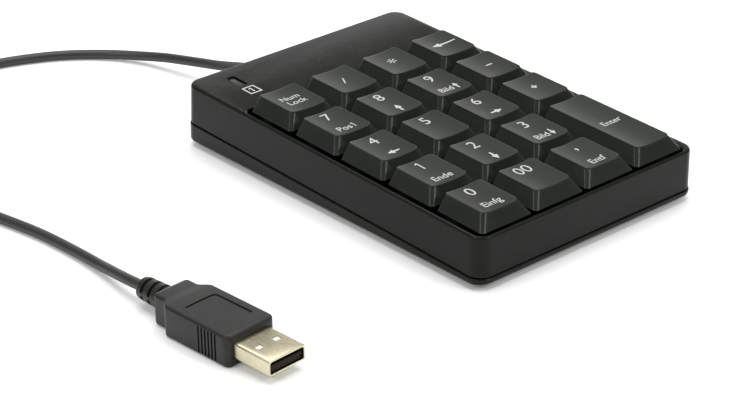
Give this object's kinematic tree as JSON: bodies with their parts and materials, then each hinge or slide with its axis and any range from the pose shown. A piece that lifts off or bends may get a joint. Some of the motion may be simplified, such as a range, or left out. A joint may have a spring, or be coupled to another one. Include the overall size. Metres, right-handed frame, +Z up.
{
  "type": "numeric keypad",
  "caption": "Low wedge-shaped wired numeric keypad with sprung rubber-dome keys, a tall enter key, an indicator light and a lead that ends in a type A plug.",
  "frame": {"origin": "on the desk, under the middle of the case's outline, at the bottom of the rubber feet", "axes": "+X to the user's right along a row of keys, +Y away from the user towards the rear edge, +Z up; the deck of keys is tilted 1.8 degrees towards the user"},
  "size_m": [0.1702, 0.2115, 0.023],
  "materials": {
    "case_plastic": "satin",
    "key_plastic": "satin",
    "legend_ink": "matte",
    "guide_plastic": "matte",
    "silicone": "matte",
    "membrane_film": "satin",
    "steel": "satin",
    "board": "satin",
    "chip": "matte",
    "lens": "satin",
    "led": "gloss",
    "connector": "satin",
    "foot_rubber": "matte",
    "cord_pvc": "satin",
    "plug_pvc": "satin",
    "plug_steel": "satin",
    "plug_insulator": "satin",
    "contact_gold": "satin",
    "tie": "matte"
  },
  "bodies": {
    "base": {"upper_case": "case_plastic", "lower_case": "case_plastic", "indicator_lens": "lens", "indicator_led": "led", "controller_board": "board", "controller_chip": "chip", "cable_connector": "connector", "internal_cable": "connector", "membrane_clamp_bar": "steel", "board_screw_left": "steel", "board_screw_right": "steel", "key_guide_plate": "guide_plastic", "rubber_dome_sheet": "silicone", "membrane_upper_layer": "membrane_film", "membrane_spacer": "membrane_film", "membrane_lower_layer": "membrane_film", "backing_plate": "steel", "case_screw_front_left": "steel", "case_screw_front_right": "steel", "case_screw_centre": "steel", "case_screw_rear_left": "steel", "case_screw_rear_right": "steel", "foot_front_left": "foot_rubber", "foot_front_right": "foot_rubber", "foot_rear_left": "foot_rubber", "foot_rear_right": "foot_rubber", "cord_strain_relief": "cord_pvc", "cord_keypad_side": "cord_pvc", "cord_coil": "cord_pvc", "cord_plug_side": "cord_pvc", "coil_tie": "tie", "plug_strain_relief": "plug_pvc", "plug_overmold": "plug_pvc", "plug_shell": "plug_steel", "plug_insulator": "plug_insulator", "plug_contact_1": "contact_gold", "plug_contact_2": "contact_gold", "plug_contact_3": "contact_gold", "plug_contact_4": "contact_gold"},
    "key_num_lock": {"key_num_lock": "key_plastic"},
    "key_divide": {"key_divide": "key_plastic"},
    "key_multiply": {"key_multiply": "key_plastic"},
    "key_backspace": {"key_backspace": "key_plastic"},
    "key_7": {"key_7": "key_plastic"},
    "key_8": {"key_8": "key_plastic"},
    "key_9": {"key_9": "key_plastic"},
    "key_minus": {"key_minus": "key_plastic"},
    "key_4": {"key_4": "key_plastic"},
    "key_5": {"key_5": "key_plastic"},
    "key_6": {"key_6": "key_plastic"},
    "key_plus": {"key_plus": "key_plastic"},
    "key_1": {"key_1": "key_plastic"},
    "key_2": {"key_2": "key_plastic"},
    "key_3": {"key_3": "key_plastic"},
    "key_0": {"key_0": "key_plastic"},
    "key_00": {"key_00": "key_plastic"},
    "key_decimal": {"key_decimal": "key_plastic"},
    "key_enter": {"key_enter": "key_plastic"},
    "enter_stabilizer": {"enter_stabilizer_wire": "steel"}
  },
  "joints": [
    {"name": "key_num_lock_press", "type": "slide", "parent": "base", "child": "key_num_lock", "axis": [0, 0.0314, -0.9995], "range_m": [0, 0.003], "stiffness_N_per_m": 170, "springref_m": -0.001, "deforming": ["rubber_dome_sheet"]},
    {"name": "key_divide_press", "type": "slide", "parent": "base", "child": "key_divide", "axis": [0, 0.0314, -0.9995], "range_m": [0, 0.003], "stiffness_N_per_m": 170, "springref_m": -0.001, "deforming": ["rubber_dome_sheet"]},
    {"name": "key_multiply_press", "type": "slide", "parent": "base", "child": "key_multiply", "axis": [0, 0.0314, -0.9995], "range_m": [0, 0.003], "stiffness_N_per_m": 170, "springref_m": -0.001, "deforming": ["rubber_dome_sheet"]},
    {"name": "key_backspace_press", "type": "slide", "parent": "base", "child": "key_backspace", "axis": [0, 0.0314, -0.9995], "range_m": [0, 0.003], "stiffness_N_per_m": 170, "springref_m": -0.001, "deforming": ["rubber_dome_sheet"]},
    {"name": "key_7_press", "type": "slide", "parent": "base", "child": "key_7", "axis": [0, 0.0314, -0.9995], "range_m": [0, 0.003], "stiffness_N_per_m": 170, "springref_m": -0.001, "deforming": ["rubber_dome_sheet"]},
    {"name": "key_8_press", "type": "slide", "parent": "base", "child": "key_8", "axis": [0, 0.0314, -0.9995], "range_m": [0, 0.003], "stiffness_N_per_m": 170, "springref_m": -0.001, "deforming": ["rubber_dome_sheet"]},
    {"name": "key_9_press", "type": "slide", "parent": "base", "child": "key_9", "axis": [0, 0.0314, -0.9995], "range_m": [0, 0.003], "stiffness_N_per_m": 170, "springref_m": -0.001, "deforming": ["rubber_dome_sheet"]},
    {"name": "key_minus_press", "type": "slide", "parent": "base", "child": "key_minus", "axis": [0, 0.0314, -0.9995], "range_m": [0, 0.003], "stiffness_N_per_m": 170, "springref_m": -0.001, "deforming": ["rubber_dome_sheet"]},
    {"name": "key_4_press", "type": "slide", "parent": "base", "child": "key_4", "axis": [0, 0.0314, -0.9995], "range_m": [0, 0.003], "stiffness_N_per_m": 170, "springref_m": -0.001, "deforming": ["rubber_dome_sheet"]},
    {"name": "key_5_press", "type": "slide", "parent": "base", "child": "key_5", "axis": [0, 0.0314, -0.9995], "range_m": [0, 0.003], "stiffness_N_per_m": 170, "springref_m": -0.001, "deforming": ["rubber_dome_sheet"]},
    {"name": "key_6_press", "type": "slide", "parent": "base", "child": "key_6", "axis": [0, 0.0314, -0.9995], "range_m": [0, 0.003], "stiffness_N_per_m": 170, "springref_m": -0.001, "deforming": ["rubber_dome_sheet"]},
    {"name": "key_plus_press", "type": "slide", "parent": "base", "child": "key_plus", "axis": [0, 0.0314, -0.9995], "range_m": [0, 0.003], "stiffness_N_per_m": 170, "springref_m": -0.001, "deforming": ["rubber_dome_sheet"]},
    {"name": "key_1_press", "type": "slide", "parent": "base", "child": "key_1", "axis": [0, 0.0314, -0.9995], "range_m": [0, 0.003], "stiffness_N_per_m": 170, "springref_m": -0.001, "deforming": ["rubber_dome_sheet"]},
    {"name": "key_2_press", "type": "slide", "parent": "base", "child": "key_2", "axis": [0, 0.0314, -0.9995], "range_m": [0, 0.003], "stiffness_N_per_m": 170, "springref_m": -0.001, "deforming": ["rubber_dome_sheet"]},
    {"name": "key_3_press", "type": "slide", "parent": "base", "child": "key_3", "axis": [0, 0.0314, -0.9995], "range_m": [0, 0.003], "stiffness_N_per_m": 170, "springref_m": -0.001, "deforming": ["rubber_dome_sheet"]},
    {"name": "key_0_press", "type": "slide", "parent": "base", "child": "key_0", "axis": [0, 0.0314, -0.9995], "range_m": [0, 0.003], "stiffness_N_per_m": 170, "springref_m": -0.001, "deforming": ["rubber_dome_sheet"]},
    {"name": "key_00_press", "type": "slide", "parent": "base", "child": "key_00", "axis": [0, 0.0314, -0.9995], "range_m": [0, 0.003], "stiffness_N_per_m": 170, "springref_m": -0.001, "deforming": ["rubber_dome_sheet"]},
    {"name": "key_decimal_press", "type": "slide", "parent": "base", "child": "key_decimal", "axis": [0, 0.0314, -0.9995], "range_m": [0, 0.003], "stiffness_N_per_m": 170, "springref_m": -0.001, "deforming": ["rubber_dome_sheet"]},
    {"name": "key_enter_press", "type": "slide", "parent": "base", "child": "key_enter", "axis": [0, 0.0314, -0.9995], "range_m": [0, 0.003], "stiffness_N_per_m": 190, "springref_m": -0.001, "deforming": ["rubber_dome_sheet"]},
    {"name": "enter_stabilizer_turn", "type": "hinge", "parent": "base", "child": "enter_stabilizer", "pos_m": [0.0337, -0.04125, 0.01312], "axis": [0, -0.9995, -0.0314], "range_deg": [0, 25]}
  ],
  "couplings": [
    {"joint": "enter_stabilizer_turn", "follows": "key_enter_press", "rad_per_m": 142.46}
  ]
}
